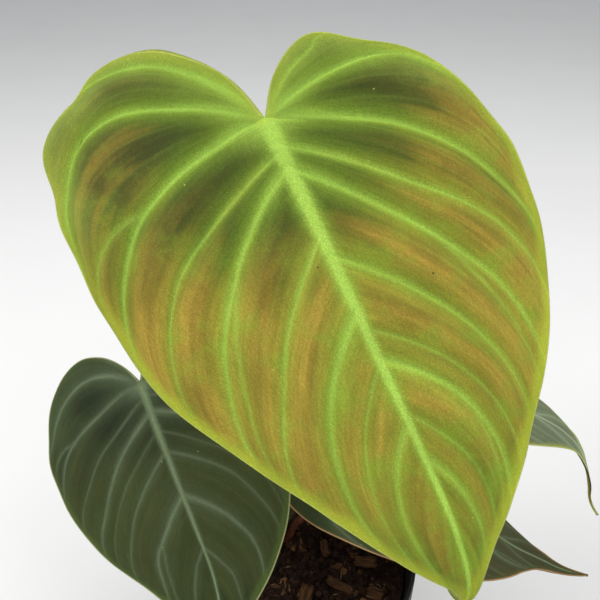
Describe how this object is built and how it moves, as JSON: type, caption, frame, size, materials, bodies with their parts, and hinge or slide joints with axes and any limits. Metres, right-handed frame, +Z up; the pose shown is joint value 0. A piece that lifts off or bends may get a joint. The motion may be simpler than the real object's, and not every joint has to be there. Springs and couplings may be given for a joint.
{
  "type": "potted philodendron",
  "caption": "Velvet-leaved climbing philodendron with one large new bronze-green heart leaf, in a plain black nursery pot.",
  "frame": {"origin": "middle of the pot's underside, on the surface it stands on", "axes": "+Z up through the pot's axis; the large new leaf faces -Y; +X is to the viewer's right"},
  "size_m": [0.2715, 0.1625, 0.3417],
  "materials": {
    "black_plastic": "satin",
    "potting_mix": "matte",
    "bark": "matte",
    "green_stem": "matte",
    "green_stalk": "satin",
    "dry_sheath": "matte",
    "bud": "satin",
    "root": "matte",
    "newest_leaf": "satin",
    "left_leaf": "matte",
    "front_leaf": "matte",
    "back_leaf": "matte"
  },
  "bodies": {
    "root": {"nursery_pot": "black_plastic", "potting_mix": "potting_mix", "stem": "green_stem", "newest_leaf": "newest_leaf", "newest_leaf_stalk": "green_stalk", "left_leaf": "left_leaf", "left_leaf_stalk": "green_stalk", "front_leaf": "front_leaf", "front_leaf_stalk": "green_stalk", "back_leaf": "back_leaf", "back_leaf_stalk": "green_stalk", "bud": "bud", "dry_sheath_front": "dry_sheath", "dry_sheath_back": "dry_sheath", "aerial_root_1": "root", "aerial_root_2": "root", "bark_chip_01": "bark", "bark_chip_02": "bark", "bark_chip_03": "bark", "bark_chip_04": "bark", "bark_chip_05": "bark", "bark_chip_06": "bark", "bark_chip_07": "bark", "bark_chip_08": "bark", "bark_chip_09": "bark", "bark_chip_10": "bark", "bark_chip_11": "bark", "bark_chip_12": "bark", "bark_chip_13": "bark", "bark_chip_14": "bark"}
  },
  "joints": []
}
